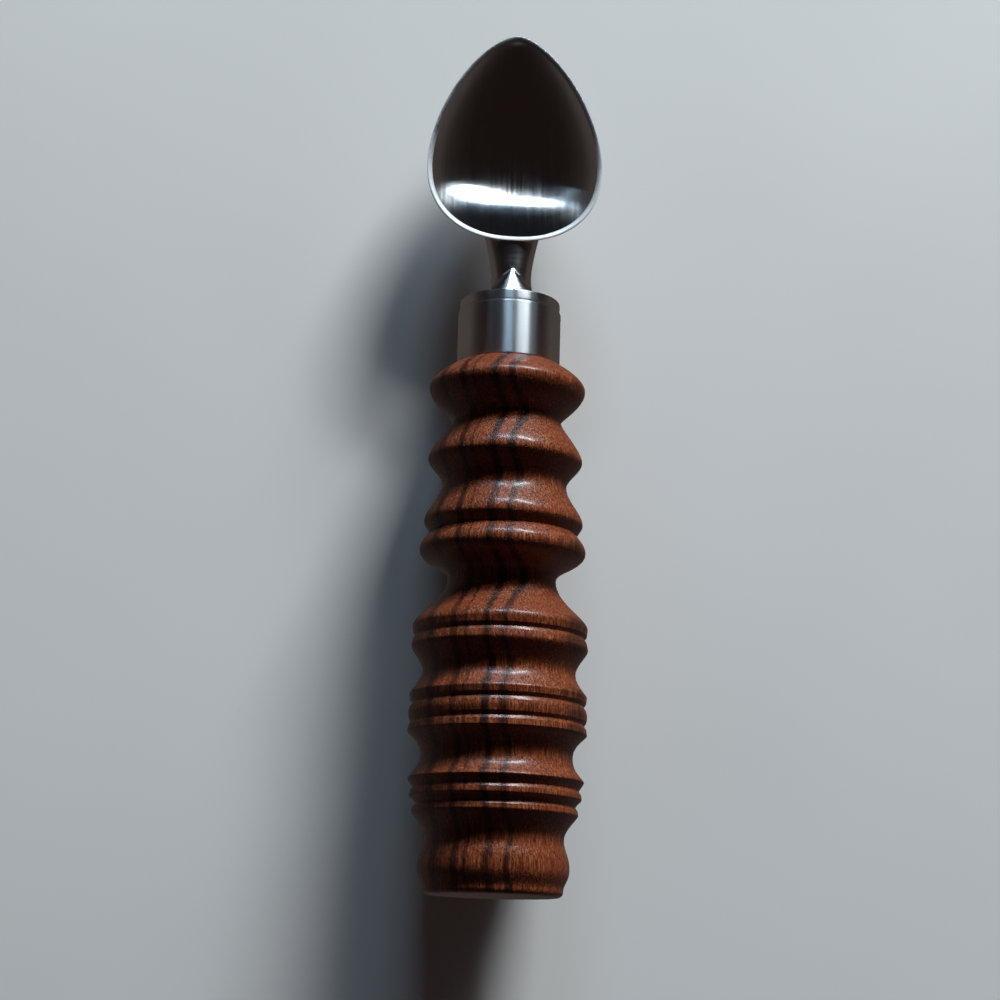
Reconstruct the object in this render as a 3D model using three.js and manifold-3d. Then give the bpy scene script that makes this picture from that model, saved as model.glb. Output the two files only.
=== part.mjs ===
// An ice-cream scoop: a spade-shaped steel bowl on a round neck, a steel ferrule and a turned hardwood
// handle. The head carries a threaded stud that screws into a brass insert in the handle.
// Millimetres. +Y runs along the tool from the butt of the handle to the tip of the bowl, +Z is the way
// the bowl opens, and the origin is the centre of the flat butt.

import * as THREE from 'three';
import { mergeVertices } from 'three/addons/utils/BufferGeometryUtils.js';
import Module from 'manifold-3d';

const wasm = await Module();
wasm.setup();

// The joint: ferrule, spigot and tenon, then the stud in its insert.
const ferruleRadius = 12.7;
const ferruleLength = 14.0;
const ferruleBore = 9.0;
const ferruleChamfer = 0.35;
const slideClearance = 0.25;
const seatLip = 0.3;
const tenonLength = 4.5;
const spigotLength = 9.0;
const studRadius = 4.7625;
const studHoleDepth = 10.0;
const studChamfer = 0.8;
const threadPitch = 1.5875;
const engagedTurns = 10;
const threadClearance = 0.2;
const insertRadius = 6.35;
const insertLength = 19.0;
const insertRecess = 0.4;
const insertChamfer = 0.5;
const glueGap = 0.15;
const boreRelief = 3.0;

// The handle: its length from the butt to the ferrule's seat, its largest radius and the butt's rounded edge.
const handleLength = 128.8;
const gripRadius = 21.4;
const buttRound = 1.6;
const buttEase = 0.3;

// The turned outline above that edge. Each crest or hollow lies a run above the one before it, and the runs
// are drawn out together to fill the handle. Girth is the share of the largest radius. Ease is the share of
// the stretch on either side that is held level: none is a sharp corner. A groove is cut halfway along the
// stretch that leads to a ring marked grooved.
const buttGirth = 0.776;
const turning = [
  { name: 'foot bead', run: 4.8, girth: 0.839, ease: 0.5 },
  { name: 'foot cove', run: 7.1, girth: 0.771, ease: 0.4 },
  { name: 'low band, first ring', run: 5.7, girth: 0.922, ease: 0.12 },
  { name: 'low band, second ring', run: 3.7, girth: 0.956, ease: 0.4, grooved: true },
  { name: 'low band, third ring', run: 4.0, girth: 0.979, ease: 0.12, grooved: true },
  { name: 'low cove', run: 5.8, girth: 0.846, ease: 0.6 },
  { name: 'middle band, first ring', run: 5.4, girth: 1, ease: 0.1 },
  { name: 'middle band, second ring', run: 4.45, girth: 0.998, ease: 0.4, grooved: true },
  { name: 'middle band, third ring', run: 4.5, girth: 0.991, ease: 0.12, grooved: true },
  { name: 'middle cove', run: 5.45, girth: 0.857, ease: 0.42 },
  { name: 'high band, first ring', run: 6.1, girth: 0.993, ease: 0.2 },
  { name: 'high band, second ring', run: 4.9, girth: 0.984, ease: 0.2, grooved: true },
  { name: 'waist', run: 11.7, girth: 0.612, ease: 0.46 },
  { name: 'broad bead', run: 7.0, girth: 0.942, ease: 0.45 },
  { name: 'notch', run: 4.3, girth: 0.829, ease: 0.05 },
  { name: 'narrow bead', run: 2.6, girth: 0.902, ease: 0.29 },
  { name: 'upper cove', run: 9.5, girth: 0.706, ease: 0.38 },
  { name: 'upper bead', run: 6.2, girth: 0.881, ease: 0.26 },
  { name: 'collar notch', run: 10.1, girth: 0.626, ease: 0.2 },
  { name: 'collar', run: 8.0, girth: 0.897, ease: 0.42 },
  { name: 'seat edge', run: 5.9, girth: (ferruleRadius + seatLip) / gripRadius, ease: 0 },
];
const grooveWidth = 1.8;
const grooveDepth = 0.6;
const grooveShoulder = 0.15;

// The flange and neck of the head.
const flangeSet = 0.3;
const flangeThickness = 2.6;
const flangeRound = 0.5;
const neckRadius = 5.0;
const neckLength = 15.25;
const neckStraight = 5.0;
const rootLength = 8.2;
const rootRise = 3.4;
const rootBend = 1.15;
const neckSink = 0.9;
const neckFillet = 1.2;
const neckFlare = 4.0;
const flareWave = 0.72;
const keelStart = 0.1;
const joinOverlap = 0.2;

// The bowl, by its outer surface. Heights are from the tool's axis.
const bowlWidth = 44.0;
const bowlLength = 56.1;
const backShare = 0.361;
const bowlWall = 1.3;
const backRise = 4.0;
const tipRise = 1.0;
const bowlDrop = 8.3;
const deepestAhead = 8.1;
const wallLean = 20;
const backLean = 46;
const tipLean = 42;

// How square the ends of the bowl's edge are: 2 is an ellipse, less is more pointed, and the soft share keeps
// the tip itself round. Towards the deepest place the bowl's level lines go over to an ellipse.
const ellipse = 2;
const backSquareness = 2.3;
const frontLengthwise = 1.68;
const frontAcross = 1.55;
const tipSoft = 0.2;

// Fineness of the facets.
const roundFacets = 32;
const curveSteps = 4;
const bowlFacets = 48;
const bowlSteps = 9;
const neckSteps = 18;
const lipSteps = 4;

// Places along the axis.
const tenonEnd = handleLength + tenonLength;
const ferruleEnd = handleLength + ferruleLength;
const spigotEnd = ferruleEnd - spigotLength;
const flangeTop = ferruleEnd + flangeThickness;
const bowlRear = flangeTop + neckLength;
const bowlBack = bowlLength * backShare;
const bowlFront = bowlLength - bowlBack;
const bowlWidest = bowlRear + bowlBack;
const bowlTip = bowlWidest + bowlFront;
const bowlDeepest = bowlWidest + deepestAhead;
const insertTop = tenonEnd - insertRecess;
const insertFloor = insertTop - insertLength;
const studFloor = insertTop - engagedTurns * threadPitch;
const studTop = spigotEnd + studHoleDepth;
const boreFloor = Math.min(studFloor, insertFloor) - boreRelief;
const spigotRadius = ferruleBore - slideClearance;
const flangeRadius = ferruleRadius - flangeSet;
const buttRadius = gripRadius * buttGirth;
const studBore = studRadius + threadClearance;

const wood = new THREE.MeshStandardMaterial({ color: 0x6b3a26, roughness: 0.35, metalness: 0 });
const polishedSteel = new THREE.MeshStandardMaterial({ color: 0xb9bcc0, roughness: 0.18, metalness: 1 });
const satinSteel = new THREE.MeshStandardMaterial({ color: 0xa9adb2, roughness: 0.28, metalness: 1 });
const platedSteel = new THREE.MeshStandardMaterial({ color: 0x8d9196, roughness: 0.4, metalness: 1 });
const brass = new THREE.MeshStandardMaterial({ color: 0xb08d3e, roughness: 0.4, metalness: 1 });

// A profile in radius and height, turned about the tool's axis with a flat facing down and up.
function turned(profile) {
  return new THREE.LatheGeometry(profile, roundFacets, Math.PI / roundFacets);
}

// A closed skin over rings of as many points each, drawn to the middle of the first and the last ring.
function skinned(rings) {
  const count = rings[0].length;
  const points = rings.flat();
  const faces = [];
  for (let ring = 0; ring < rings.length - 1; ring += 1) {
    for (let side = 0; side < count; side += 1) {
      const next = (side + 1) % count;
      const low = ring * count;
      const high = low + count;
      faces.push(low + side, low + next, high + next, low + side, high + next, high + side);
    }
  }
  const lastRing = points.length - count;
  const first = points.push(middleOf(rings[0])) - 1;
  const last = points.push(middleOf(rings.at(-1))) - 1;
  for (let side = 0; side < count; side += 1) {
    const next = (side + 1) % count;
    faces.push(first, next, side, last, lastRing + side, lastRing + next);
  }
  const geometry = new THREE.BufferGeometry().setFromPoints(points);
  geometry.setIndex(faces);
  return geometry;
}

function middleOf(ring) {
  const sum = ring.reduce((total, point) => total.add(point), new THREE.Vector3());
  return sum.divideScalar(ring.length);
}

// A closed geometry as a solid for joining and cutting.
function solidOf(geometry) {
  const bare = geometry.clone();
  bare.deleteAttribute('normal');
  bare.deleteAttribute('uv');
  const merged = mergeVertices(bare, 1e-4);
  const corners = Array.from(merged.index.array);
  const faces = [];
  for (let at = 0; at < corners.length; at += 3) {
    const [a, b, c] = corners.slice(at, at + 3);
    if (a !== b && b !== c && c !== a) {
      faces.push(a, b, c);
    }
  }
  return new wasm.Manifold(new wasm.Mesh({
    numProp: 3,
    vertProperties: new Float32Array(merged.getAttribute('position').array),
    triVerts: new Uint32Array(faces),
  }));
}

function geometryOf(solid) {
  const mesh = solid.getMesh();
  const geometry = new THREE.BufferGeometry();
  geometry.setAttribute('position', new THREE.BufferAttribute(mesh.vertProperties, 3));
  geometry.setIndex(new THREE.BufferAttribute(mesh.triVerts, 1));
  geometry.computeVertexNormals();
  return geometry;
}

// One stretch of the turned outline, level at each end for that end's ease.
function sweepTo(outline, from, to) {
  const span = to.at - from.at;
  const levelUntil = from.at + from.ease * span;
  const levelFrom = to.at - to.ease * span;
  outline.bezierCurveTo(from.radius, levelUntil, to.radius, levelFrom, to.radius, to.at);
}

// A V groove halfway between two rings: the edge before it, its bottom and the edge after it.
function grooveBetween(before, after) {
  const at = (before.at + after.at) / 2;
  const radius = Math.min(before.radius, after.radius) - grooveShoulder;
  return {
    entry: { at: at - grooveWidth / 2, radius, ease: 0 },
    bottom: { at, radius: radius - grooveDepth },
    exit: { at: at + grooveWidth / 2, radius, ease: 0 },
  };
}

// The handle, with a tenon for the ferrule and a stepped bore for the insert and the stud.
function handleGeometry() {
  const outline = new THREE.Path();
  outline.moveTo(0, 0);
  outline.lineTo(buttRadius - buttRound, 0);
  outline.quadraticCurveTo(buttRadius, 0, buttRadius, buttRound);
  const runTotal = turning.reduce((total, ring) => total + ring.run, 0);
  const drawnOut = (handleLength - buttRound) / runTotal;
  let last = { at: buttRound, radius: buttRadius, ease: buttEase };
  let ringAt = buttRound;
  for (const ring of turning) {
    ringAt += ring.run * drawnOut;
    const next = { at: ringAt, radius: gripRadius * ring.girth, ease: ring.ease };
    if (ring.grooved) {
      const groove = grooveBetween(last, next);
      sweepTo(outline, last, groove.entry);
      outline.lineTo(groove.bottom.radius, groove.bottom.at);
      outline.lineTo(groove.exit.radius, groove.exit.at);
      last = groove.exit;
    }
    sweepTo(outline, last, next);
    last = next;
  }
  outline.lineTo(spigotRadius, handleLength);
  outline.lineTo(spigotRadius, tenonEnd);
  outline.lineTo(insertRadius + glueGap, tenonEnd);
  outline.lineTo(insertRadius + glueGap, insertFloor);
  outline.lineTo(studBore, insertFloor);
  outline.lineTo(studBore, boreFloor);
  outline.lineTo(0, boreFloor);
  return turned(outline.getPoints(curveSteps));
}

function ferruleGeometry() {
  const outline = new THREE.Path();
  outline.moveTo(ferruleBore, handleLength);
  outline.lineTo(ferruleRadius - ferruleChamfer, handleLength);
  outline.lineTo(ferruleRadius, handleLength + ferruleChamfer);
  outline.lineTo(ferruleRadius, ferruleEnd - ferruleChamfer);
  outline.lineTo(ferruleRadius - ferruleChamfer, ferruleEnd);
  outline.lineTo(ferruleBore, ferruleEnd);
  outline.closePath();
  return turned(outline.getPoints());
}

function insertGeometry() {
  const outline = new THREE.Path();
  outline.moveTo(studBore, insertFloor);
  outline.lineTo(insertRadius - insertChamfer, insertFloor);
  outline.lineTo(insertRadius, insertFloor + insertChamfer);
  outline.lineTo(insertRadius, insertTop);
  outline.lineTo(studBore + insertChamfer, insertTop);
  outline.lineTo(studBore, insertTop - insertChamfer);
  outline.closePath();
  return turned(outline.getPoints());
}

function studGeometry() {
  const outline = new THREE.Path();
  outline.moveTo(0, studFloor);
  outline.lineTo(studRadius - studChamfer, studFloor);
  outline.lineTo(studRadius, studFloor + studChamfer);
  outline.lineTo(studRadius, studTop - studChamfer);
  outline.lineTo(studRadius - studChamfer, studTop);
  outline.lineTo(0, studTop);
  return turned(outline.getPoints());
}

// The turned foot of the head: the spigot with its stud hole, the flange, and the fillet at the root of
// the neck.
function footGeometry() {
  const outline = new THREE.Path();
  const innerNeck = neckRadius - joinOverlap;
  outline.moveTo(0, studTop);
  outline.lineTo(studBore, studTop);
  outline.lineTo(studBore, spigotEnd);
  outline.lineTo(spigotRadius, spigotEnd);
  outline.lineTo(spigotRadius, ferruleEnd);
  outline.lineTo(flangeRadius - ferruleChamfer, ferruleEnd);
  outline.lineTo(flangeRadius, ferruleEnd + ferruleChamfer);
  outline.lineTo(flangeRadius, flangeTop - flangeRound);
  outline.quadraticCurveTo(flangeRadius, flangeTop, flangeRadius - flangeRound, flangeTop);
  outline.lineTo(innerNeck + neckFillet, flangeTop);
  outline.quadraticCurveTo(innerNeck, flangeTop, innerNeck, flangeTop + neckFillet);
  outline.lineTo(0, flangeTop + neckFillet);
  return turned(outline.getPoints(curveSteps));
}

// The neck comes down from a thicker root with flat sides, then spreads and dips into a keel under the bowl,
// and ends in the bowl's floor.
function neckGeometry() {
  const { clamp, lerp, mapLinear, smootherstep } = THREE.MathUtils;
  const keelDrop = bowlDrop - joinOverlap;
  const places = shares(neckSteps).map((share) => lerp(flangeTop, bowlDeepest, share));
  const rings = [(studTop + flangeTop) / 2, flangeTop, ...places].map((at) => {
    const root = clamp(mapLinear(at, flangeTop, flangeTop + rootLength, 1, 0), 0, 1) ** rootBend;
    const run = clamp(mapLinear(at, flangeTop + neckStraight, bowlDeepest, 0, 1), 0, 1);
    const spread = Math.sin(flareWave * Math.PI * run) ** 2;
    const dip = smootherstep(run, keelStart, 1);
    const halfWidth = neckRadius + neckFlare * spread;
    const sink = neckSink * smootherstep(at, flangeTop + neckStraight, bowlRear);
    const top = neckRadius + rootRise * root - sink;
    return neckRing(at, halfWidth, top, lerp(neckRadius, keelDrop, dip) + rootRise * root);
  });
  return skinned(rings);
}

// A section across the neck from its top down to a drop below the axis: an oval, or where it is taller than
// wide a round with both sides cut flat.
function neckRing(at, halfWidth, top, drop) {
  const reach = Math.max(halfWidth, top);
  return Array.from({ length: roundFacets }, (_, side) => {
    const turn = (2 * Math.PI * (side + 0.5)) / roundFacets;
    const across = THREE.MathUtils.clamp(reach * Math.sin(turn), -halfWidth, halfWidth);
    return new THREE.Vector3(across, at, (top - drop) / 2 + ((top + drop) / 2) * Math.cos(turn));
  });
}

// How far the wall swings up from level at a turn about the bowl: less at the back and the tip.
function swingAt(turn) {
  const endLean = Math.sin(turn) > 0 ? tipLean : backLean;
  const lean = THREE.MathUtils.lerp(wallLean, endLean, Math.sin(turn) ** 2);
  return THREE.MathUtils.degToRad(90 - lean);
}

// The bowl's edge, drawn in from its outer surface by a share of the wall: blunt behind the widest place,
// pointed ahead of it. A share below 1 gives the rounder line that a level line lower in the bowl follows.
function edgePoint(turn, wallShare, share = 1) {
  const across = Math.abs(Math.cos(turn));
  const along = Math.abs(Math.sin(turn));
  const ahead = Math.sin(turn) > 0;
  const inset = wallShare * bowlWall;
  const squareness = (atEdge) => THREE.MathUtils.lerp(ellipse, atEdge, share ** 2);
  const power = 2 / squareness(ahead ? frontAcross : backSquareness);
  const soft = ahead ? tipSoft ** 2 : 0;
  const widthShare = across * ((across ** 2 + soft) / (1 + soft)) ** ((power - 1) / 2);
  const lengthShare = along ** (2 / squareness(ahead ? frontLengthwise : backSquareness));
  const reach = ahead ? bowlFront - inset : inset - bowlBack;
  const y = bowlWidest + reach * lengthShare;
  const z = THREE.MathUtils.mapLinear(y, bowlRear, bowlTip, backRise, tipRise);
  return new THREE.Vector3(Math.sign(Math.cos(turn)) * (bowlWidth / 2 - inset) * widthShare, y, z);
}

// One ring of the bowl, from its deepest place (depth share 0) out to its edge (1), along an arc that stops
// short of upright.
function bowlRing(share, wallShare) {
  const floor = wallShare * bowlWall - bowlDrop;
  return bowlTurns().map((turn) => {
    const swing = swingAt(turn);
    const out = Math.sin(share * swing) / Math.sin(swing);
    const up = (1 - Math.cos(share * swing)) / (1 - Math.cos(swing));
    const edge = edgePoint(turn, wallShare, share);
    return new THREE.Vector3(
      edge.x * out,
      THREE.MathUtils.lerp(bowlDeepest, edge.y, out),
      THREE.MathUtils.lerp(floor, edge.z, up),
    );
  });
}

function bowlTurns() {
  return Array.from({ length: bowlFacets }, (_, side) => (2 * Math.PI * side) / bowlFacets);
}

// One ring of the lip: from a crisp outer corner (share 0) it bends down into the inner wall (1).
function lipRing(share) {
  return bowlTurns().map((turn) => {
    const swing = swingAt(turn);
    const inwards = Math.sin(share * swing) / Math.sin(swing);
    const fall = (1 - Math.cos(share * swing)) / (1 - Math.cos(swing));
    const lip = edgePoint(turn, 0).lerp(edgePoint(turn, 1), inwards);
    lip.z += bowlWall * Math.tan(swing / 2) * (1 - fall);
    return lip;
  });
}

function shares(steps) {
  return Array.from({ length: steps }, (_, step) => (step + 1) / steps);
}

function bowlGeometry() {
  const outer = shares(bowlSteps).map((share) => bowlRing(share, 0));
  const lip = [0, ...shares(lipSteps).slice(0, -1)].map((share) => lipRing(share));
  const inner = shares(bowlSteps).reverse().map((share) => bowlRing(share, 1));
  return skinned([...outer, ...lip, ...inner]);
}

// What the bowl can hold, with a column above it, to cut the neck away inside.
function hollowGeometry() {
  const inner = shares(bowlSteps).map((share) => bowlRing(share, 1));
  const column = inner.at(-1).map((point) => point.clone().setZ(backRise + bowlDrop));
  return skinned([...inner, column]);
}

function headGeometry() {
  const neck = solidOf(neckGeometry()).subtract(solidOf(hollowGeometry()));
  return geometryOf(solidOf(footGeometry()).add(neck).add(solidOf(bowlGeometry())));
}

function named(name, geometry, material) {
  const mesh = new THREE.Mesh(geometry, material);
  mesh.name = name;
  return mesh;
}

const handle = new THREE.Group();
handle.add(named('wooden_handle', handleGeometry(), wood));
handle.add(named('threaded_insert', insertGeometry(), brass));

const head = new THREE.Group();
head.add(named('scoop_head', headGeometry(), polishedSteel));
head.add(named('threaded_stud', studGeometry(), platedSteel));

const scoop = new THREE.Group();
scoop.add(handle, named('ferrule', ferruleGeometry(), satinSteel), head);

export default scoop;
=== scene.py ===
"""Looks for the ice-cream scoop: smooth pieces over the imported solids, with materials, light and camera.

Sizes are in millimetres in the solids' own frame and become metres when a mesh is made. +Y runs from the
butt to the tip of the bowl, and +Z is the way the bowl opens.
"""

import math

import bmesh
import bpy
import numpy as np
from mathutils import Matrix, Vector


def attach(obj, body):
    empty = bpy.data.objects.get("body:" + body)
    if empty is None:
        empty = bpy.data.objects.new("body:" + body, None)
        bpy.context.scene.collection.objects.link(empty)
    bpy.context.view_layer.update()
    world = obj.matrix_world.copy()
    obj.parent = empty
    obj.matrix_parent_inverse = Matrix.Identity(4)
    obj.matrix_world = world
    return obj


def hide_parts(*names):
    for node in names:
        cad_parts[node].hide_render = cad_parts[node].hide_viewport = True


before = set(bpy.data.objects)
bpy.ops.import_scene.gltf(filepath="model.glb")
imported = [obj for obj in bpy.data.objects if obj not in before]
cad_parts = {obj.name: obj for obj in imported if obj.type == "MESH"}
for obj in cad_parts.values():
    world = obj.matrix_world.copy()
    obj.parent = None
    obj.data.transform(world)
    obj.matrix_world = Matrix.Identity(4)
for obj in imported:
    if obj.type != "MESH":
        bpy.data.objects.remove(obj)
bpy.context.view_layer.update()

MM = 0.001

# The handle, as in the solids. Each crest or hollow: run from the one before, share of the largest radius,
# share of the stretch held level, and whether a groove is cut halfway to it.
HANDLE_LENGTH = 128.8
GRIP_RADIUS = 21.4
BUTT_GIRTH = 0.776
BUTT_ROUND = 1.6
BUTT_EASE = 0.3
SEAT_RADIUS = 13.0
TURNING = [
    (4.8, 0.839, 0.5, False),
    (7.1, 0.771, 0.4, False),
    (5.7, 0.922, 0.12, False),
    (3.7, 0.956, 0.4, True),
    (4.0, 0.979, 0.12, True),
    (5.8, 0.846, 0.6, False),
    (5.4, 1.0, 0.1, False),
    (4.45, 0.998, 0.4, True),
    (4.5, 0.991, 0.12, True),
    (5.45, 0.857, 0.42, False),
    (6.1, 0.993, 0.2, False),
    (4.9, 0.984, 0.2, True),
    (11.7, 0.612, 0.46, False),
    (7.0, 0.942, 0.45, False),
    (4.3, 0.829, 0.05, False),
    (2.6, 0.902, 0.29, False),
    (9.5, 0.706, 0.38, False),
    (6.2, 0.881, 0.26, False),
    (10.1, 0.626, 0.2, False),
    (8.0, 0.897, 0.42, False),
    (5.9, SEAT_RADIUS / GRIP_RADIUS, 0.0, False),
]
GROOVE_WIDTH = 1.8
GROOVE_DEPTH = 0.6
GROOVE_SHOULDER = 0.15

# Turned corners sharper than this many degrees are rounded, over at most this share of a side.
EDGE_ROUND = 0.18
CORNER_DEGREES = 20
CORNER_SHARE = 0.45

# The joint. The thread's root flat and flanks are shares of its pitch.
FERRULE_RADIUS = 12.7
FERRULE_LENGTH = 14.0
FERRULE_BORE = 9.0
FERRULE_CHAMFER = 0.35
SLIDE_CLEARANCE = 0.25
TENON_LENGTH = 4.5
SPIGOT_LENGTH = 9.0
STUD_RADIUS = 4.7625
STUD_HOLE_DEPTH = 10.0
STUD_CHAMFER = 0.8
THREAD_PITCH = 1.5875
THREAD_DEPTH = 0.8
THREAD_ROOT_FLAT = 7 / 24
THREAD_FLANK = 1 / 3
THREAD_CLEARANCE = 0.2
ENGAGED_TURNS = 10
INSERT_RADIUS = 6.35
INSERT_LENGTH = 19.0
INSERT_RECESS = 0.4
INSERT_CHAMFER = 0.5
INSERT_PITCH = 2.8
INSERT_THREAD = 0.7
GLUE_GAP = 0.15
BORE_RELIEF = 3.0

# The head's foot and neck. ROOT_ROUND is the radius of the rib on the neck's root, at the flange.
FLANGE_RADIUS = 12.4
FLANGE_THICKNESS = 2.6
FLANGE_ROUND = 0.5
NECK_RADIUS = 5.0
NECK_LENGTH = 15.25
NECK_STRAIGHT = 5.0
ROOT_LENGTH = 8.2
ROOT_RISE = 3.4
ROOT_BEND = 1.15
ROOT_ROUND = 10.0
NECK_SINK = 0.9
NECK_FILLET = 1.2
NECK_FLARE = 4.0
FLARE_WAVE = 0.72
KEEL_START = 0.1
JOIN_OVERLAP = 0.2

# The bowl. Leans are in degrees from upright.
BOWL_WIDTH = 44.0
BOWL_LENGTH = 56.1
BACK_SHARE = 0.361
BOWL_WALL = 1.3
BACK_RISE = 4.0
TIP_RISE = 1.0
BOWL_DROP = 8.3
DEEPEST_AHEAD = 8.1
WALL_LEAN = 20.0
BACK_LEAN = 46.0
TIP_LEAN = 42.0
ELLIPSE = 2.0
BACK_SQUARENESS = 2.3
FRONT_LENGTHWISE = 1.68
FRONT_ACROSS = 1.55
TIP_SOFT = 0.2
LIP_ROUND = 0.04

# Places in the bowl's wall.
OUTER = 0.0
MIDDLE = 0.5
INNER = 1.0

# Places along the axis.
TENON_END = HANDLE_LENGTH + TENON_LENGTH
FERRULE_END = HANDLE_LENGTH + FERRULE_LENGTH
SPIGOT_END = FERRULE_END - SPIGOT_LENGTH
FLANGE_TOP = FERRULE_END + FLANGE_THICKNESS
NECK_BEND = FLANGE_TOP + NECK_STRAIGHT
BOWL_REAR = FLANGE_TOP + NECK_LENGTH
BOWL_BACK = BOWL_LENGTH * BACK_SHARE
BOWL_FRONT = BOWL_LENGTH - BOWL_BACK
BOWL_WIDEST = BOWL_REAR + BOWL_BACK
BOWL_TIP = BOWL_WIDEST + BOWL_FRONT
BOWL_DEEPEST = BOWL_WIDEST + DEEPEST_AHEAD
INSERT_TOP = TENON_END - INSERT_RECESS
INSERT_FLOOR = INSERT_TOP - INSERT_LENGTH
STUD_FLOOR = INSERT_TOP - ENGAGED_TURNS * THREAD_PITCH
STUD_TOP = SPIGOT_END + STUD_HOLE_DEPTH
BORE_FLOOR = min(STUD_FLOOR, INSERT_FLOOR) - BORE_RELIEF

# Radii that follow from others.
SPIGOT_RADIUS = FERRULE_BORE - SLIDE_CLEARANCE
BUTT_RADIUS = GRIP_RADIUS * BUTT_GIRTH
STUD_BORE = STUD_RADIUS + THREAD_CLEARANCE
KEEL_HALF_WIDTH = NECK_RADIUS + NECK_FLARE

# The fillet between neck and bowl. Edges bent by more than the crease make its seam, which lies under the
# bowl's edge. Points within reach of the seam are drawn to their neighbours' middle, round by round, but
# not those of the bowl's inside, which face up and lie past most of the wall.
SEAM_START = NECK_BEND + 2.0
SEAM_END = BOWL_DEEPEST + 6.0
SEAM_CREASE = 14.0
SEAM_BELOW_EDGE = 0.2
SEAM_BESIDE_KEEL = 1.0
FILLET_REACH = 2.4
FILLET_ROUNDS = 30
FILLET_PULL = 0.5
FILLET_SHAPE = 0.5
FILLET_SPARE = 4.0
FILLET_BELOW_EDGE = 0.1
INSIDE_FACING = 0.3
INSIDE_WALL_SHARE = 0.8

# Fineness: sides round the axis, and steps along curves and for each turn of a thread.
ROUND_SIDES = 160
CURVE_STEPS = 14
CORNER_STEPS = 4
FILLET_STEPS = 8
RIM_STEPS = 6
THREAD_SIDES = 64
THREAD_STEPS = 12
BOWL_SIDES = 240
BOWL_STEPS = 44
LIP_STEPS = 10
NECK_SIDES = 96
NECK_STEPS = 90

# Points closer than this, in metres, are one point.
SAME_POINT = 1e-7


def lerp(a, b, share):
    return a + (b - a) * share


def held(share):
    """A share kept between 0 and 1."""
    return min(1.0, max(0.0, share))


def smootherstep(value, low, high):
    t = held((value - low) / (high - low))
    return t * t * t * (t * (t * 6 - 15) + 10)


def shares(steps):
    """Even shares after 0, up to 1."""
    return [(step + 1) / steps for step in range(steps)]


def skin(rings, loop=False):
    """Vertices and faces of a closed skin over rings of as many points each. A loop joins the last ring to
    the first, and otherwise both ends are drawn to their middles."""
    rings = [np.asarray(ring, float) for ring in rings]
    count = len(rings[0])
    points = [tuple(p) for ring in rings for p in ring]
    faces = []
    pairs = len(rings) if loop else len(rings) - 1
    for i in range(pairs):
        low = i * count
        high = ((i + 1) % len(rings)) * count
        for side in range(count):
            after = (side + 1) % count
            faces.append((low + side, low + after, high + after, high + side))
    if not loop:
        last = (len(rings) - 1) * count
        first_middle = len(points)
        points.append(tuple(rings[0].mean(0)))
        points.append(tuple(rings[-1].mean(0)))
        for side in range(count):
            after = (side + 1) % count
            faces.append((first_middle, after, side))
            faces.append((first_middle + 1, last + side, last + after))
    return points, faces


def placed(name, data):
    """A new object in the scene."""
    obj = bpy.data.objects.new(name, data)
    bpy.context.scene.collection.objects.link(obj)
    return obj


def piece(name, skinned):
    """A mesh object from vertices in millimetres, facing outwards."""
    points, faces = skinned
    mesh = bpy.data.meshes.new(name)
    mesh.from_pydata([Vector(p) * MM for p in points], [], faces)
    work = bmesh.new()
    work.from_mesh(mesh)
    bmesh.ops.remove_doubles(work, verts=work.verts, dist=SAME_POINT)
    bmesh.ops.recalc_face_normals(work, faces=work.faces)
    work.to_mesh(mesh)
    work.free()
    return placed(name, mesh)


def turns_round(sides):
    """The turn about +Y of each side's point."""
    return np.arange(sides) * 2 * math.pi / sides


def ring_at(radius, at, sides=ROUND_SIDES):
    """Points round the axis. The radius is one number, or one for each side."""
    turns = turns_round(sides)
    radii = np.broadcast_to(radius, sides)
    return np.stack([radii * np.sin(turns), np.full(sides, at), radii * np.cos(turns)], 1)


def turned(profile, loop=False):
    return skin([ring_at(radius, at) for radius, at in profile if radius > 0], loop)


def curve(start, first, second, end):
    """Points of a cubic curve after its start."""
    t = (np.arange(CURVE_STEPS) + 1)[:, None] / CURVE_STEPS
    a, b, c, d = (np.array(p, float) for p in (start, first, second, end))
    points = a * (1 - t) ** 3 + 3 * b * t * (1 - t) ** 2 + 3 * c * t**2 * (1 - t) + d * t**3
    return [tuple(p) for p in points]


def rounded(profile):
    """The profile with each sharp corner drawn as a small arc."""
    points = [np.array(p, float) for p in profile]
    out = [tuple(points[0])]
    for before, here, after in zip(points, points[1:], points[2:]):
        back = before - here
        on = after - here
        if math.degrees(Vector(-back).angle(Vector(on))) < CORNER_DEGREES:
            out.append(tuple(here))
            continue
        back_length = np.linalg.norm(back)
        on_length = np.linalg.norm(on)
        cut = min(EDGE_ROUND, CORNER_SHARE * back_length, CORNER_SHARE * on_length)
        start = here + back / back_length * cut
        end = here + on / on_length * cut
        for step in range(CORNER_STEPS + 1):
            t = step / CORNER_STEPS
            out.append(tuple(start * (1 - t) ** 2 + 2 * here * t * (1 - t) + end * t**2))
    out.append(tuple(points[-1]))
    return out


def sweep(start, end):
    """A curve between two places of the handle: each is a radius, a place and the share held level."""
    span = end[1] - start[1]
    first = (start[0], start[1] + start[2] * span)
    second = (end[0], end[1] - end[2] * span)
    return curve(start[:2], first, second, end[:2])


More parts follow.
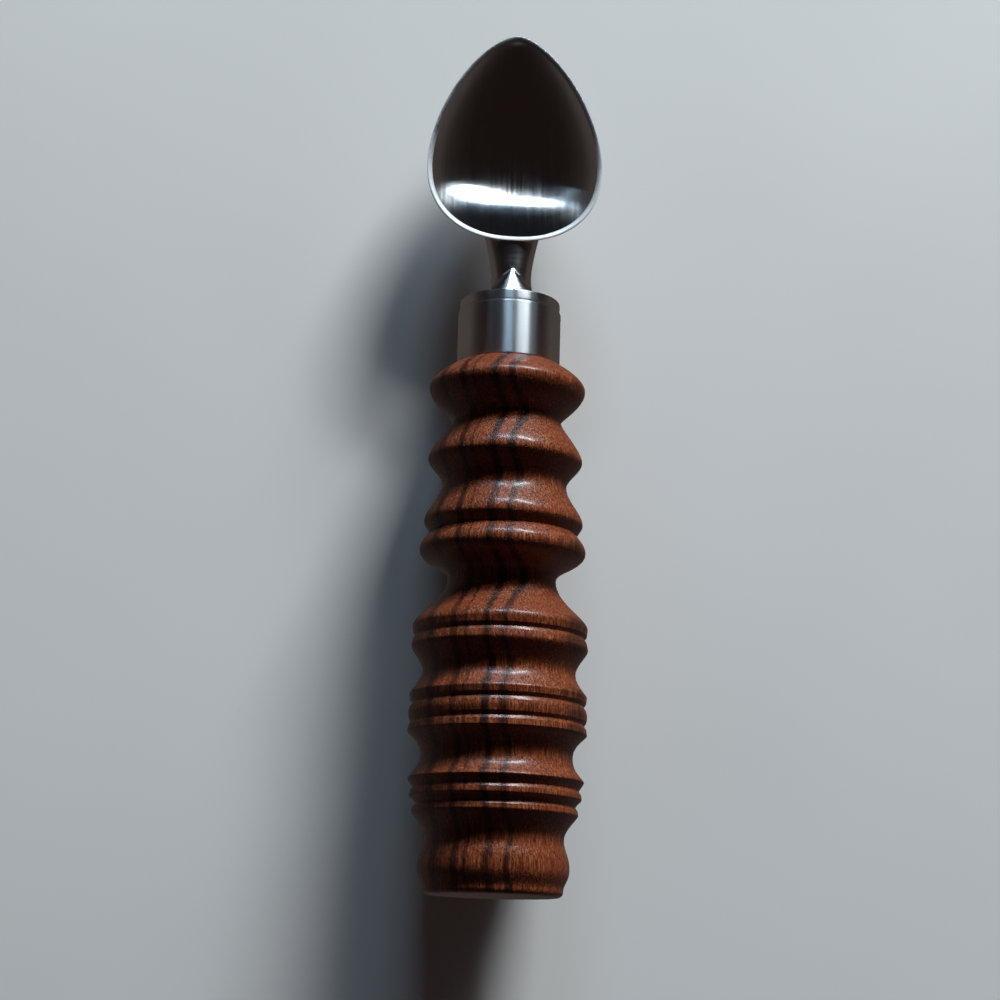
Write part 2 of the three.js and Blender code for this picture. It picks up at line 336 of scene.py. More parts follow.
def handle_outline():
    """The turned outline from the edge of the butt to the ferrule's seat."""
    outline = [(BUTT_RADIUS - BUTT_ROUND, 0.0)]
    for t in shares(CURVE_STEPS):
        outline.append((BUTT_RADIUS - BUTT_ROUND * (1 - t) ** 2, BUTT_ROUND * t**2))
    drawn_out = (HANDLE_LENGTH - BUTT_ROUND) / sum(ring[0] for ring in TURNING)
    last = (BUTT_RADIUS, BUTT_ROUND, BUTT_EASE)
    ring_place = BUTT_ROUND
    for run, girth, ease, grooved in TURNING:
        ring_place += run * drawn_out
        here = (GRIP_RADIUS * girth, ring_place, ease)
        if grooved:
            middle = (last[1] + here[1]) / 2
            rim = min(last[0], here[0]) - GROOVE_SHOULDER
            outline += sweep(last, (rim, middle - GROOVE_WIDTH / 2, 0.0))
            outline.append((rim - GROOVE_DEPTH, middle))
            last = (rim, middle + GROOVE_WIDTH / 2, 0.0)
            outline.append(last[:2])
        outline += sweep(last, here)
        last = here
    return outline


def handle_skin():
    bore = INSERT_RADIUS + GLUE_GAP
    profile = [(0.0, 0.0)] + handle_outline() + [
        (SPIGOT_RADIUS, HANDLE_LENGTH),
        (SPIGOT_RADIUS, TENON_END),
        (bore, TENON_END),
        (bore, INSERT_FLOOR),
        (STUD_BORE, INSERT_FLOOR),
        (STUD_BORE, BORE_FLOOR),
        (0.0, BORE_FLOOR),
    ]
    return turned(rounded(profile))


def ferrule_skin():
    profile = [
        (FERRULE_BORE, HANDLE_LENGTH),
        (FERRULE_RADIUS - FERRULE_CHAMFER, HANDLE_LENGTH),
        (FERRULE_RADIUS, HANDLE_LENGTH + FERRULE_CHAMFER),
        (FERRULE_RADIUS, FERRULE_END - FERRULE_CHAMFER),
        (FERRULE_RADIUS - FERRULE_CHAMFER, FERRULE_END),
        (FERRULE_BORE, FERRULE_END),
    ]
    return turned(rounded(profile), loop=True)


def thread(at, pitch, crest, root):
    """Radii round a right-hand thread: a flat crest and root with slanted flanks between."""
    phase = (at / pitch - turns_round(THREAD_SIDES) / (2 * math.pi)) % 1.0
    height = np.clip((np.abs(phase - 0.5) - THREAD_ROOT_FLAT / 2) / THREAD_FLANK, 0.0, 1.0)
    return lerp(root, crest, height)


def stud_skin():
    """The stud with its real thread and coned ends."""
    rows = int((STUD_TOP - STUD_FLOOR) / THREAD_PITCH * THREAD_STEPS)
    rings = []
    for row in range(rows + 1):
        at = lerp(STUD_FLOOR, STUD_TOP, row / rows)
        cone = STUD_RADIUS - STUD_CHAMFER + min(at - STUD_FLOOR, STUD_TOP - at)
        radii = thread(at, THREAD_PITCH, STUD_RADIUS, STUD_RADIUS - THREAD_DEPTH)
        rings.append(ring_at(np.minimum(radii, cone), at, THREAD_SIDES))
    return skin(rings)


def insert_skin():
    """The insert, with a coarse wood thread outside and the stud's thread inside."""
    rows = int(INSERT_LENGTH / THREAD_PITCH * THREAD_STEPS)
    inner_crest = STUD_RADIUS - THREAD_DEPTH + THREAD_CLEARANCE / 2
    outside = []
    inside = []
    for row in range(rows + 1):
        at = lerp(INSERT_FLOOR, INSERT_TOP, row / rows)
        lead = INSERT_RADIUS - INSERT_CHAMFER + (at - INSERT_FLOOR)
        mouth = STUD_BORE + INSERT_CHAMFER - (INSERT_TOP - at)
        in_wood = thread(at, INSERT_PITCH, INSERT_RADIUS, INSERT_RADIUS - INSERT_THREAD)
        round_stud = thread(at, THREAD_PITCH, STUD_BORE, inner_crest)
        outside.append(ring_at(np.minimum(in_wood, lead), at, THREAD_SIDES))
        inside.append(ring_at(np.maximum(round_stud, mouth), at, THREAD_SIDES))
    return skin(outside + inside[::-1], loop=True)


def swing_at(turn):
    """How far the wall swings up from level at a turn about the bowl: less at the back and the tip."""
    end_lean = TIP_LEAN if math.sin(turn) > 0 else BACK_LEAN
    return math.radians(90 - lerp(WALL_LEAN, end_lean, math.sin(turn) ** 2))


def arc_shares(swing, share):
    """How far out and up a share of an arc that starts level has come, as shares of the whole arc."""
    out = math.sin(share * swing) / math.sin(swing)
    up = (1 - math.cos(share * swing)) / (1 - math.cos(swing))
    return out, up


def edge_height(at):
    """Height of the bowl's edge at a place along the axis."""
    return lerp(BACK_RISE, TIP_RISE, (at - BOWL_REAR) / (BOWL_TIP - BOWL_REAR))


def edge_point(turn, wall_share, share=1.0):
    """A point of the bowl's edge, drawn in by a share of the wall. A share below 1 gives the rounder line
    that a level line lower in the bowl follows."""
    across, along = abs(math.cos(turn)), abs(math.sin(turn))
    ahead = math.sin(turn) > 0
    inset = wall_share * BOWL_WALL
    weight = share**2
    squareness_x = lerp(ELLIPSE, FRONT_ACROSS if ahead else BACK_SQUARENESS, weight)
    squareness_y = lerp(ELLIPSE, FRONT_LENGTHWISE if ahead else BACK_SQUARENESS, weight)
    reach = BOWL_FRONT - inset if ahead else inset - BOWL_BACK
    soft = TIP_SOFT**2 if ahead else 0.0
    bulge = (2 / squareness_x - 1) / 2
    width_share = across * ((across**2 + soft) / (1 + soft)) ** bulge if across else 0.0
    x = math.copysign(1.0, math.cos(turn)) * (BOWL_WIDTH / 2 - inset) * width_share
    y = BOWL_WIDEST + reach * along ** (2 / squareness_y)
    return np.array([x, y, edge_height(y)])


def bowl_turns():
    return [2 * math.pi * side / BOWL_SIDES for side in range(BOWL_SIDES)]


def bowl_ring(share, wall_share):
    """One ring of the bowl, from its deepest place (share 0) to its edge (1)."""
    floor_height = wall_share * BOWL_WALL - BOWL_DROP
    ring = []
    for turn in bowl_turns():
        out, up = arc_shares(swing_at(turn), share)
        x, y, z = edge_point(turn, wall_share, share)
        ring.append((x * out, lerp(BOWL_DEEPEST, y, out), lerp(floor_height, z, up)))
    return ring


def lip_height(turn):
    """How far the lip stands above the bowl's edge, so that it meets the wall square."""
    return BOWL_WALL * math.tan(swing_at(turn) / 2)


def corner_ring(share):
    """One ring of the small round at the lip's outer corner, from its side (share 0) to its top (1)."""
    quarter = math.pi / 2 * share
    inwards = LIP_ROUND / BOWL_WALL * (1 - math.cos(quarter))
    ring = []
    for turn in bowl_turns():
        corner = lerp(edge_point(turn, OUTER), edge_point(turn, INNER), inwards)
        corner[2] += lip_height(turn) - LIP_ROUND * (1 - math.sin(quarter))
        ring.append(corner)
    return ring


def lip_ring(share):
    """One ring of the lip: from its outer corner (share 0) it bends down into the inner wall (1)."""
    ring = []
    for turn in bowl_turns():
        inwards, fall = arc_shares(swing_at(turn), share)
        lip = lerp(edge_point(turn, OUTER), edge_point(turn, INNER), inwards)
        lip[2] += lip_height(turn) * (1 - fall)
        ring.append(lip)
    return ring


def bowl_skin():
    outer = [bowl_ring(share, OUTER) for share in shares(BOWL_STEPS)]
    lip = [corner_ring(step / CORNER_STEPS) for step in range(CORNER_STEPS + 1)]
    lip += [lip_ring(share) for share in shares(LIP_STEPS)[1:-1]]
    inner = [bowl_ring(share, INNER) for share in reversed(shares(BOWL_STEPS))]
    return skin(outer + lip + inner)


def hollow_skin():
    """The space inside the middle of the bowl's wall, with a column above it."""
    inner = [bowl_ring(share, MIDDLE) for share in shares(BOWL_STEPS)]
    column = [(x, y, BACK_RISE + BOWL_DROP) for x, y, z in inner[-1]]
    return skin(inner + [column])


def foot_skin():
    """The head's turned foot: spigot, stud hole, flange, and the fillet at the neck's root."""
    neck = NECK_RADIUS - JOIN_OVERLAP
    rim = []
    for t in shares(RIM_STEPS):
        rim.append((FLANGE_RADIUS - FLANGE_ROUND * t**2, FLANGE_TOP - FLANGE_ROUND * (1 - t) ** 2))
    fillet = []
    for t in shares(FILLET_STEPS):
        fillet.append((neck + NECK_FILLET * (1 - t) ** 2, FLANGE_TOP + NECK_FILLET * t**2))
    profile = [
        (0.0, STUD_TOP),
        (STUD_BORE, STUD_TOP),
        (STUD_BORE, SPIGOT_END),
        (SPIGOT_RADIUS, SPIGOT_END),
        (SPIGOT_RADIUS, FERRULE_END),
        (FLANGE_RADIUS - FERRULE_CHAMFER, FERRULE_END),
        (FLANGE_RADIUS, FERRULE_END + FERRULE_CHAMFER),
        (FLANGE_RADIUS, FLANGE_TOP - FLANGE_ROUND),
        *rim,
        (neck + NECK_FILLET, FLANGE_TOP),
        *fillet,
        (0.0, FLANGE_TOP + NECK_FILLET),
    ]
    return turned(rounded(profile))


def neck_ring(at):
    """A section across the neck, from a thick root with flat sides to the oval keel under the bowl. A
    round rib runs along the root, above and below, and narrows to nothing where the root ends."""
    root = (1 - held((at - FLANGE_TOP) / ROOT_LENGTH)) ** ROOT_BEND
    run = held((at - NECK_BEND) / (BOWL_DEEPEST - NECK_BEND))
    half_width = NECK_RADIUS + NECK_FLARE * math.sin(FLARE_WAVE * math.pi * run) ** 2
    sink = NECK_SINK * smootherstep(at, NECK_BEND, BOWL_REAR)
    shoulder = ROOT_RISE * root**2
    top = NECK_RADIUS - sink + shoulder
    dip = smootherstep(run, KEEL_START, 1.0)
    drop = lerp(NECK_RADIUS, BOWL_DROP - JOIN_OVERLAP, dip) + shoulder
    turns = (np.arange(NECK_SIDES) + 0.5) * 2 * math.pi / NECK_SIDES
    across = np.clip(max(half_width, top) * np.sin(turns), -half_width, half_width)
    height = (top - drop) / 2 + (top + drop) / 2 * np.cos(turns)
    crown = ROOT_ROUND * root
    on_rib = np.abs(across) < crown
    fall = crown - np.sqrt(np.where(on_rib, crown**2 - across**2, 0.0))
    rib = ROOT_RISE * root - shoulder - fall
    raised = np.where(np.cos(turns) > 0, np.maximum(height, top + rib), np.minimum(height, -drop - rib))
    return np.stack([across, np.full(NECK_SIDES, at), np.where(on_rib, raised, height)], 1)


def neck_skin():
    places = [lerp(FLANGE_TOP, BOWL_DEEPEST, share) for share in shares(NECK_STEPS)]
    return skin([neck_ring(at) for at in [(STUD_TOP + FLANGE_TOP) / 2, FLANGE_TOP, *places]])


def combine(target, tool, operation):
    """Joins the tool to the target or cuts it away, and removes the tool."""
    step = target.modifiers.new(operation, "BOOLEAN")
    step.operation = operation
    step.solver = "EXACT"
    step.object = tool
    graph = bpy.context.evaluated_depsgraph_get()
    made = bpy.data.meshes.new_from_object(target.evaluated_get(graph))
    target.modifiers.clear()
    target.data = made
    bpy.data.objects.remove(tool)


def on_seam(vert):
    """Whether a point lies where the neck can meet the bowl."""
    x, y, z = (c / MM for c in vert.co)
    if not SEAM_START < y < SEAM_END or z >= BACK_RISE - SEAM_BELOW_EDGE:
        return False
    return abs(x) < KEEL_HALF_WIDTH + SEAM_BESIDE_KEEL


def may_move(vert):
    """Whether the fillet may move a point: near the neck's end of the bowl and not inside it."""
    y, z = vert.co.y / MM, vert.co.z / MM
    inside = vert.normal.z > INSIDE_FACING and y > BOWL_REAR + INSIDE_WALL_SHARE * BOWL_WALL
    near = SEAM_START - FILLET_SPARE < y < SEAM_END + FILLET_SPARE
    return near and z < BACK_RISE - FILLET_BELOW_EDGE and not inside


def blend_seam(obj):
    """Melts the crease between neck and bowl into a fillet."""
    work = bmesh.new()
    work.from_mesh(obj.data)
    bmesh.ops.triangulate(work, faces=[f for f in work.faces if len(f.verts) > 4])
    seam = set()
    for edge in work.edges:
        if len(edge.link_faces) == 2 and edge.calc_face_angle() > math.radians(SEAM_CREASE):
            if all(on_seam(vert) for vert in edge.verts):
                seam.update(edge.verts)
    seam_points = np.array([vert.co for vert in seam])
    weights = {}
    for vert in work.verts:
        if may_move(vert):
            gap = np.sqrt(((seam_points - np.array(vert.co)) ** 2).sum(1)).min() / MM
            if gap < FILLET_REACH:
                weights[vert] = (1 - gap / FILLET_REACH) ** FILLET_SHAPE
    for _ in range(FILLET_ROUNDS):
        moved = {}
        for vert, weight in weights.items():
            around = [edge.other_vert(vert).co for edge in vert.link_edges]
            middle = sum(around, Vector()) / len(around)
            moved[vert] = vert.co.lerp(middle, FILLET_PULL * weight)
        for vert, place in moved.items():
            vert.co = place
    work.to_mesh(obj.data)
    work.free()


def head_piece():
    neck = piece("neck_work", neck_skin())
    combine(neck, piece("hollow_work", hollow_skin()), "DIFFERENCE")
    head = piece("head_steel", bowl_skin())
    combine(head, neck, "UNION")
    blend_seam(head)
    combine(head, piece("foot_work", foot_skin()), "UNION")
    return head


# The span of a noise's values that shows as marks.
MARK_SPAN = (0.3, 0.7)

# The sockets of a mix node that take its share and its two colours, and the one that gives the result.
MIX_INPUTS = (0, 6, 7)
MIX_OUTPUT = 2


class Graph:
    """Short ways to add and link shader nodes."""

    def __init__(self, tree):
        self.tree = tree

    def add(self, kind, _links=None, **settings):
        node = self.tree.nodes.new(kind)
        for key, value in settings.items():
            setattr(node, key, value)
        for socket, value in (_links or {}).items():
            self.set(node, socket, value)
        return node

    def set(self, node, socket, value):
        target = node.inputs[socket]
        if isinstance(value, bpy.types.NodeSocket):
            self.tree.links.new(value, target)
        else:
            target.default_value = value

    def math(self, operation, a, b):
        return self.add("ShaderNodeMath", {0: a, 1: b}, operation=operation).outputs[0]

    def vector(self, operation, *values):
        return self.add("ShaderNodeVectorMath", dict(enumerate(values)), operation=operation).outputs

    def scaled(self, vector, scale):
        return self.vector("MULTIPLY", vector, scale)[0]

    def noise(self, vector, detail=2.0, roughness=0.5, output="Fac"):
        sockets = {"Vector": vector, "Scale": 1.0, "Detail": detail, "Roughness": roughness}
        return self.add("ShaderNodeTexNoise", sockets).outputs[output]

    def carried(self, value, span=(0.0, 1.0), to=(0.0, 1.0)):
        """A value carried from one span to another and held inside it."""
        sockets = {"From Min": span[0], "From Max": span[1], "To Min": to[0], "To Max": to[1]}
        return self.add("ShaderNodeMapRange", {"Value": value, **sockets}).outputs[0]

    def ramp(self, value, stops, interpolation="LINEAR"):
        node = self.add("ShaderNodeValToRGB", {"Fac": value})
        bar = node.color_ramp
        bar.interpolation = interpolation
        while len(bar.elements) > 1:
            bar.elements.remove(bar.elements[-1])
        for i, (at, shade) in enumerate(stops):
            stop = bar.elements[0] if i == 0 else bar.elements.new(at)
            stop.position = at
            stop.color = (*shade, 1.0) if isinstance(shade, tuple) else (shade, shade, shade, 1.0)
        return node.outputs["Color"]

    def shaded(self, marks, dark, light):
        """A colour that goes from dark to light with the marks."""
        return self.ramp(marks, list(zip(MARK_SPAN, (dark, light))))

    def mix(self, share, a, b):
        node = self.add("ShaderNodeMix", data_type="RGBA")
        for socket, value in zip(MIX_INPUTS, (share, a, b)):
            if isinstance(value, tuple):
                value = (*value, 1.0)
            self.set(node, socket, value)
        return node.outputs[MIX_OUTPUT]

    def place(self):
        """Object coordinates in millimetres."""
        coordinates = self.add("ShaderNodeTexCoord").outputs["Object"]
        return self.scaled(coordinates, (1 / MM,) * 3)

    def bump(self, height, strength, depth):
        sockets = {"Height": height, "Strength": strength, "Distance": depth * MM}
        return self.add("ShaderNodeBump", sockets).outputs[0]

    def surface(self, sockets):
        shader = self.add("ShaderNodeBsdfPrincipled", sockets)
        self.add("ShaderNodeOutputMaterial", {"Surface": shader.outputs[0]})


def material(name):
    made = bpy.data.materials.new(name)
    made.use_nodes = True
    made.node_tree.nodes.clear()
    return made, Graph(made.node_tree)


# Dark layers through the wood, seen across the grain: place, half width and depth of shade. The core of a
# layer, a share of its width, has the full depth. The layers drift along the handle and have ragged edges.
# The first and widest is no layer but painted shade along the handle's left flank, away from the key
# light.
LAYER_SPAN = 48.0
LAYER_TILT = 30.0
LAYER_CORE = 0.3
LAYER_DRIFT = 5.0
LAYER_RAGGED = 2.2
LAYER_AND_SHADE_COLOUR = (0.010, 0.004, 0.0035)
DARK_LAYERS_AND_SHADE = [
    # Painted shade along the handle's left flank, away from the key light.
    (-17.0, 5.0, 0.8),
    (-8.6, 1.7, 0.85),
    (-1.8, 1.3, 0.9),
    (1.4, 0.5, 0.7),
    (6.6, 1.3, 0.9),
    (10.6, 1.1, 0.9),
    (21.6, 1.9, 0.85),
]

# Fineness of the wood's marks, per millimetre: across, along and across the grain.
DRIFT_MARKS = (0.03, 0.008, 0.03)
RAGGED_MARKS = (0.9, 0.06, 0.9)
FADE_MARKS = (0.12, 0.02, 0.12)
FIBRE_MARKS = (2.4, 0.09, 2.4)
PORE_MARKS = (5.0, 0.38, 5.0)
SPECKLE_MARKS = (1.9, 1.0, 1.9)

# Where a layer fades it keeps at least this share of its depth.
FADE_SPAN = (0.36, 0.58)
FADE_LEAST = 0.7
FIBRE_TONES = [
    (0.25, (0.080, 0.015, 0.005)),
    (0.5, (0.20, 0.044, 0.014)),
    (0.72, (0.40, 0.125, 0.050)),
]
FIBRE_RELIEF = 0.5
PORE_SPAN = (0.58, 0.68)
PORE_SHADE = 0.7
PORE_COLOUR = (0.02, 0.007, 0.005)
WOOD_ROUGHNESS = (0.30, 0.48)
WOOD_RELIEF = 0.2


def layers_and_shade(graph, place):
    """How dark the wood's layers, and the painted shade on the handle's left flank, make a place, from 0
    to 1.
    """
    drift = graph.noise(graph.scaled(place, DRIFT_MARKS), output="Color")
    drift = graph.vector("SUBTRACT", drift, (0.5, 0.5, 0.5))[0]
    shifted = graph.vector("MULTIPLY_ADD", drift, (LAYER_DRIFT, 0.0, LAYER_DRIFT), place)[0]
    tilt = math.radians(LAYER_TILT)
    layer = graph.vector("DOT_PRODUCT", shifted, (math.cos(tilt), 0.0, math.sin(tilt)))["Value"]
    ragged = graph.noise(graph.scaled(place, RAGGED_MARKS), detail=4.0, roughness=0.6)
    ragged = graph.math("MULTIPLY", graph.math("SUBTRACT", ragged, 0.5), LAYER_RAGGED)
    layer = graph.math("ADD", layer, ragged)
    across = graph.math("ADD", graph.math("DIVIDE", layer, LAYER_SPAN), 0.5)
    stops = [(0.0, 0.0)]
    for at, half, depth in DARK_LAYERS_AND_SHADE:
        core = half * LAYER_CORE
        for offset, value in ((-half, 0.0), (-core, depth), (core, depth), (half, 0.0)):
            stops.append(((at + offset) / LAYER_SPAN + 0.5, value))
    fade = graph.noise(graph.scaled(place, FADE_MARKS))
    fade = graph.carried(fade, FADE_SPAN, (FADE_LEAST, 1.0))
    return graph.math("MULTIPLY", graph.ramp(across, stops, "EASE"), fade)


def wood():
    made, graph = material("dark_hardwood")
    place = graph.place()
    fibre = graph.noise(graph.scaled(place, FIBRE_MARKS), detail=3.0, roughness=0.6)
    tone = graph.ramp(fibre, FIBRE_TONES)
    pore = graph.noise(graph.scaled(place, PORE_MARKS), detail=1.0)
    pore = graph.carried(pore, PORE_SPAN)
    tone = graph.mix(graph.math("MULTIPLY", pore, PORE_SHADE), tone, PORE_COLOUR)
    speckle = graph.noise(graph.scaled(place, SPECKLE_MARKS), detail=3.0)
    height = graph.math("ADD", graph.math("MULTIPLY", fibre, FIBRE_RELIEF), speckle)
    height = graph.math("SUBTRACT", height, pore)
    graph.surface({
        "Base Color": graph.mix(layers_and_shade(graph, place), tone, LAYER_AND_SHADE_COLOUR),
        "Roughness": graph.carried(speckle, to=WOOD_ROUGHNESS),
        "Normal": graph.bump(height, strength=0.9, depth=WOOD_RELIEF),
        "Coat Weight": 0.35,
        "Coat Roughness": 0.19,
        "Specular IOR Level": 0.36,
    })
    return made


# Steel: how much of its marks are lines and not clouds, how far they change the roughness and the shade,
# the turn that spreads the shine along the axis, and where along the bowl the lip turns pale and partly
# non-metal: a painted highlight, which the key light makes white.
LINE_SHARE = 0.7
CLOUD_MARKS = (0.25, 0.25, 0.25)
ROUGHNESS_CHANGE = (0.7, 1.35)
DARKEST_SHADE = 0.9
LINE_DEPTH = 0.03
QUARTER_TURN = 0.25
RIM_HIGHLIGHT_SPAN = (BOWL_WIDEST - 2.0, BOWL_WIDEST + 9.0)
ACROSS_MAP = "across"


def steel(name, base, roughness, spread, grain, relief=0.04, brushed=None, rim_highlight=0.0):
    """Steel with fine lines: grain gives the lines per millimetre along each axis. The shine spreads along
    the tool's axis, or across the lines that a map of the surface gives. Rim highlight is how far the
    steel turns pale and non-metal behind the bowl's widest place: a painted highlight, which the key light
    makes white."""
    made, graph = material(name)
    place = graph.place()
    lines = graph.noise(graph.scaled(place, grain), detail=3.0, roughness=0.65)
    clouds = graph.noise(graph.scaled(place, CLOUD_MARKS))
    line_part = graph.math("MULTIPLY", lines, LINE_SHARE)
    marks = graph.math("ADD", line_part, graph.math("MULTIPLY", clouds, 1 - LINE_SHARE))
    smoothest, roughest = (roughness * change for change in ROUGHNESS_CHANGE)
    darkest = tuple(DARKEST_SHADE * channel for channel in base)
    tangent = graph.add("ShaderNodeTangent")
    if brushed:
        tangent.direction_type = "UV_MAP"
        tangent.uv_map = brushed
    else:
        tangent.direction_type = "RADIAL"
        tangent.axis = "Y"
    metal = 1.0
    if rim_highlight:
        along = graph.add("ShaderNodeSeparateXYZ", {"Vector": place}).outputs["Y"]
        metal = graph.carried(along, RIM_HIGHLIGHT_SPAN, (1 - rim_highlight, 1.0))
    graph.surface({
        "Base Color": graph.shaded(marks, darkest, base),
        "Metallic": metal,
        "Roughness": graph.carried(marks, MARK_SPAN, (smoothest, roughest)),
        "Anisotropic": spread,
        "Anisotropic Rotation": 0.0 if brushed else QUARTER_TURN,
        "Tangent": tangent.outputs[0],
        "Normal": graph.bump(lines, relief, LINE_DEPTH),
    })
    return made


def clouded(name, marks, dark, light, roughness, metallic):
    """A plain material with soft clouds between two shades and two values of roughness."""
    made, graph = material(name)
    cloud = graph.noise(graph.scaled(graph.place(), (marks,) * 3), detail=3.0)
    graph.surface({
        "Base Color": graph.shaded(cloud, dark, light),
        "Metallic": metallic,
        "Roughness": graph.carried(cloud, to=roughness),
    })
    return made


def map_across(obj):
    """A map of the surface as seen from above: its first direction runs across the tool."""
    places = np.empty(len(obj.data.vertices) * 3)
    obj.data.vertices.foreach_get("co", places)
    corners = np.empty(len(obj.data.loops), dtype=np.int32)
    obj.data.loops.foreach_get("vertex_index", corners)
    across = places.reshape(-1, 3)[corners, :2] / MM
    obj.data.uv_layers.new(name=ACROSS_MAP).data.foreach_set("uv", across.ravel())


def dress(obj, crisp_degrees, *finishes):
    """Smooth shading, with sharper edges left crisp, and the finishes."""
    obj.data.shade_smooth()
    obj.data.set_sharp_from_angle(angle=math.radians(crisp_degrees))
    for finish in finishes:
        obj.data.materials.append(finish)


# The head's finishes, in the order of its material slots, and the margins where they meet. The bowl's is
# on its inside, which faces up, and near its rear also forwards.
NECK, BOWL, TURNED, LIP = range(4)
FACING_UP = 0.05
FACING_AHEAD = 0.25
TURNED_ABOVE_FLANGE = 0.05
LIP_ABOVE_EDGE = 0.15
BOWL_BEHIND_REAR = 0.1
BOWL_ABOVE_REAR = 0.1
BOWL_PAST_REAR = 3.0


def head_finish(face):
    """Which of the head's finishes a face has."""
    at, height = face.center.y / MM, face.center.z / MM
    if at < FLANGE_TOP + TURNED_ABOVE_FLANGE:
        return TURNED
    if face.normal.z <= FACING_UP:
        return NECK
    if at > BOWL_REAR and height > edge_height(at) + LIP_ABOVE_EDGE:
        return LIP
    inside = face.normal.y > FACING_AHEAD or at > BOWL_REAR + BOWL_PAST_REAR
    if at > BOWL_REAR - BOWL_BEHIND_REAR and (inside or height > BACK_RISE + BOWL_ABOVE_REAR):
        return BOWL
    return NECK


bowl_steel = steel(
    "bowl_steel", (0.66, 0.67, 0.69), roughness=0.20, spread=1.0, grain=(1.4, 0.03, 0.03),
    relief=0.6, brushed=ACROSS_MAP)
# The lip's rear is pale and partly non-metal: a painted highlight, which the key light makes white.
lip_steel = steel(
    "lip_steel", (0.86, 0.90, 0.92), roughness=0.36, spread=0.0, grain=(2.0, 2.0, 2.0), rim_highlight=0.6)
neck_steel = steel(
    "neck_steel", (0.64, 0.65, 0.67), roughness=0.17, spread=0.3, grain=(0.15, 9.0, 0.15))
turned_steel = steel(
    "turned_steel", (0.80, 0.83, 0.86), roughness=0.39, spread=1.0, grain=(0.15, 12.0, 0.15))
plated_steel = steel(
    "plated_steel", (0.50, 0.52, 0.54), roughness=0.32, spread=0.2, grain=(0.6, 3.0, 0.6))
brass = clouded("brass", 0.8, (0.42, 0.27, 0.08), (0.62, 0.42, 0.14), roughness=(0.28, 0.45), metallic=1.0)

# Edges bent by more than this many degrees stay crisp.
CRISP_TURNED = 32
CRISP_CAST = 40

handle = piece("handle_wood", handle_skin())
dress(handle, CRISP_TURNED, wood())

ferrule = piece("ferrule_ring", ferrule_skin())
dress(ferrule, CRISP_TURNED, turned_steel)

insert = piece("insert_brass", insert_skin())
dress(insert, CRISP_CAST, brass)

stud = piece("stud_thread", stud_skin())
dress(stud, CRISP_CAST, plated_steel)

head = head_piece()
map_across(head)
dress(head, CRISP_CAST, neck_steel, bowl_steel, turned_steel, lip_steel)
for face in head.data.polygons:
    face.material_index = head_finish(face)

for made, body, node, slot in (
    (handle, "handle", "wooden_handle", "dark_hardwood"),
    (insert, "handle", "threaded_insert", "brass"),
    (ferrule, "collar", "ferrule", "satin_steel"),
    (head, "head", "scoop_head", "polished_steel"),
    (stud, "head", "threaded_stud", "plated_steel"),
):
    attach(made, body)
    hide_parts(node)

# The floor. BALANCE is where the whole tool balances along the axis.
BALANCE = 111.1
FLOOR_REACH = 4000.0
FLOOR_CORNERS = ((-1, -1), (1, -1), (1, 1), (-1, 1))
FLOOR_MARKS = (0.01, 0.01, 0.01)
FLOOR_DARK = (0.80, 0.79, 0.77)
FLOOR_LIGHT = (0.84, 0.83, 0.81)
FLOOR_ROUGHNESS = 0.7
RESTS_WITHIN = 1e-6


def resting_line(balance):
    """Height and slope of the floor that the handle's rings rest on, either side of the balance point."""
    outline = sorted((at, radius) for radius, at in handle_outline())
    best = None
    for at, radius in outline:
        if at > balance:
            continue
        for other, reach in outline:
            if other <= balance:
                continue
            slope = (reach - radius) / (other - at)
            if all(r <= radius + slope * (a - at) + RESTS_WITHIN for a, r in outline):
                best = (radius - slope * at, slope)
    return best


def floor_piece():
    rise, slope = resting_line(BALANCE)
    points = []
    for x, y in FLOOR_CORNERS:
        along = y * FLOOR_REACH
        points.append(Vector((x * FLOOR_REACH, along, -(rise + slope * along))) * MM)
    mesh = bpy.data.meshes.new("floor")
    mesh.from_pydata(points, [], [(0, 1, 2, 3)])
    return placed("floor", mesh)


def floor_material():
    made, graph = material("pale_floor")
    cloud = graph.noise(graph.scaled(graph.place(), FLOOR_MARKS))
    shade = graph.shaded(cloud, FLOOR_DARK, FLOOR_LIGHT)
    graph.surface({"Base Color": shade, "Roughness": FLOOR_ROUGHNESS})
    return made


# The steel mirrors the room and the lights only, and the pale floor throws no light back on the wood.
floor = floor_piece()
floor.data.materials.append(floor_material())
for unmirrored in (floor, head):
    unmirrored.visible_glossy = False
floor.visible_diffuse = False

# Light: a window beyond the tip of the bowl, a little to the right, with fainter ones beside it. The key
# comes from there too, but isn't mirrored. Each light has its heading, width and height in metres, watts
# and colour.
AIM = Vector((0.0, 110.0, 0.0)) * MM
LIGHT_DISTANCE = 2.0
LIGHTS = {
    "window": ((0.34, 0.86, 0.37), 0.7, 0.13, 23.0, (0.86, 0.95, 1.0)),
    "side_window": ((-0.04, 0.90, 0.385), 0.42, 0.13, 9.5, (0.58, 0.80, 1.0)),
    "right_strip": ((0.56, 0.78, 0.22), 0.5, 0.22, 1.0, (0.75, 0.88, 1.0)),
    "left_strip": ((-0.40, 0.84, 0.30), 1.0, 0.10, 0.6, (0.6, 0.8, 1.0)),
    "sill": ((0.1, 0.97, 0.24), 1.6, 0.25, 0.09, (0.3, 0.6, 1.0)),
    "far_wall": ((0.05, -0.76, 0.65), 1.2, 0.30, 0.10, (1.0, 0.9, 0.8)),
    "key": ((0.34, 0.86, 0.40), 0.7, 0.7, 38.0, (0.92, 0.96, 1.0)),
}
UNMIRRORED_LIGHT = "key"

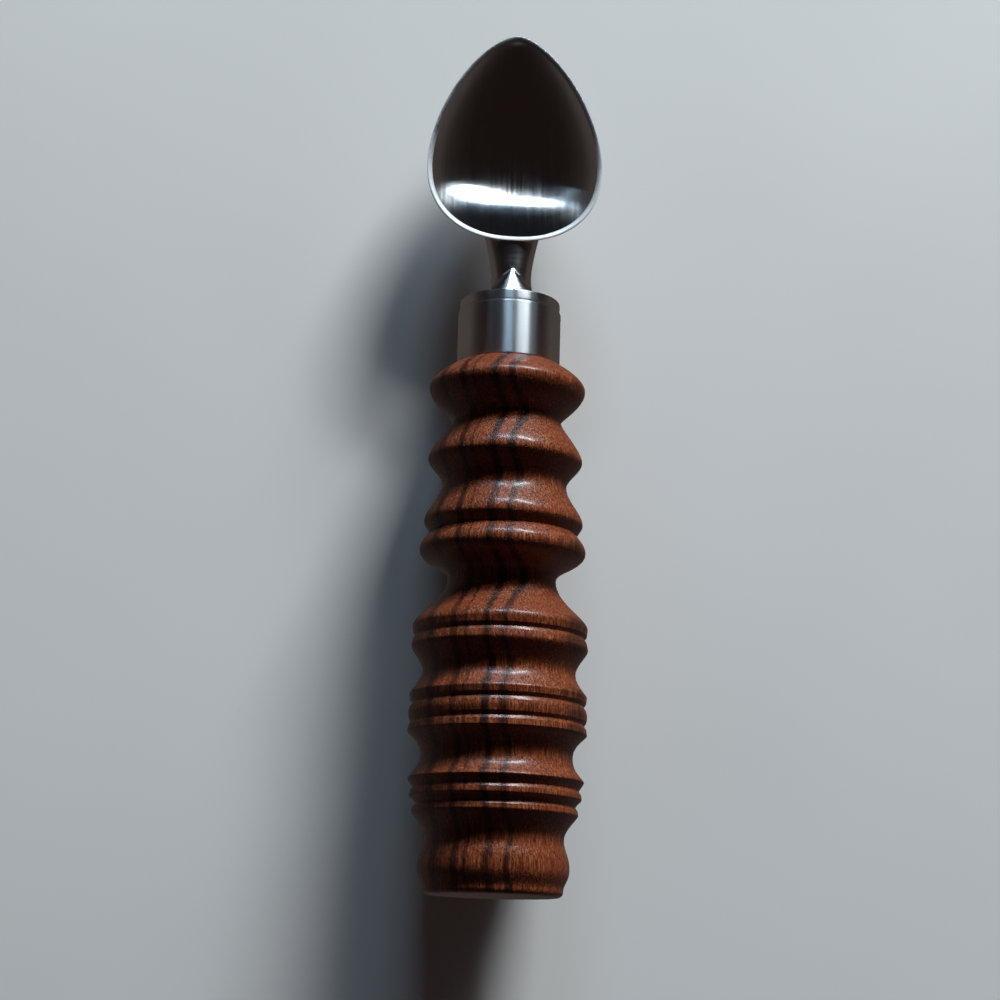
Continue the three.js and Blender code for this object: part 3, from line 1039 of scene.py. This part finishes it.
for name, (heading, width, height, watts, colour) in LIGHTS.items():
    data = bpy.data.lights.new(name, "AREA")
    data.shape = "RECTANGLE"
    data.size = width
    data.size_y = height
    data.energy = watts
    data.color = colour
    light = placed(name, data)
    light.location = AIM + Vector(heading).normalized() * LIGHT_DISTANCE
    light.rotation_euler = (AIM - light.location).to_track_quat("-Z", "Y").to_euler()
    light.visible_glossy = name != UNMIRRORED_LIGHT

# The room: its shades from straight down (0) to straight up (1), and the darker one beyond the tip.
ROOM_SHADES = [
    (0.40, (0.085, 0.068, 0.060)),
    (0.55, (0.030, 0.022, 0.020)),
    (0.80, (0.013, 0.008, 0.007)),
]
BEYOND_TIP = (0.010, 0.011, 0.014)
BEYOND_TIP_SPAN = (0.6, 0.95)

world = bpy.data.worlds.new("room")
world.use_nodes = True
sky = Graph(world.node_tree)
direction = sky.add("ShaderNodeTexCoord").outputs["Generated"]
direction = sky.add("ShaderNodeSeparateXYZ", {"Vector": direction}).outputs
shade = sky.ramp(sky.carried(direction["Z"], (-1.0, 1.0)), ROOM_SHADES)
shade = sky.mix(sky.carried(direction["Y"], BEYOND_TIP_SPAN), shade, BEYOND_TIP)
sky.set(world.node_tree.nodes["Background"], "Color", shade)
bpy.context.scene.world = world
bpy.context.scene.view_settings.view_transform = "Standard"

# Camera: from above on the butt's side, turned a little so that the tool leans to the right.
CAMERA_TILT = math.radians(12.9)
CAMERA_ROLL = math.radians(1.75)
CAMERA_ORBIT = math.radians(3.0)
CAMERA_DISTANCE = 524.9
CAMERA_TARGET = (-1.0, 95.26, 0.0)
CAMERA_SENSOR = 36.0
CAMERA_LENS = 77.4
CAMERA_NEAREST = 10.0

camera_data = bpy.data.cameras.new("camera")
camera_data.sensor_width = CAMERA_SENSOR
camera_data.lens = CAMERA_LENS
camera_data.clip_start = CAMERA_NEAREST * MM
camera = placed("camera", camera_data)
forward = Vector((0.0, math.sin(CAMERA_TILT), -math.cos(CAMERA_TILT)))
level = Vector((1.0, 0.0, 0.0))
upright = level.cross(forward)
right = level * math.cos(CAMERA_ROLL) + upright * math.sin(CAMERA_ROLL)
up = upright * math.cos(CAMERA_ROLL) - level * math.sin(CAMERA_ROLL)
axes = Matrix((right, up, -forward)).transposed().to_4x4()
stand = Matrix.Translation((Vector(CAMERA_TARGET) - forward * CAMERA_DISTANCE) * MM)
camera.matrix_world = Matrix.Rotation(-CAMERA_ORBIT, 4, "Y") @ stand @ axes
bpy.context.scene.camera = camera
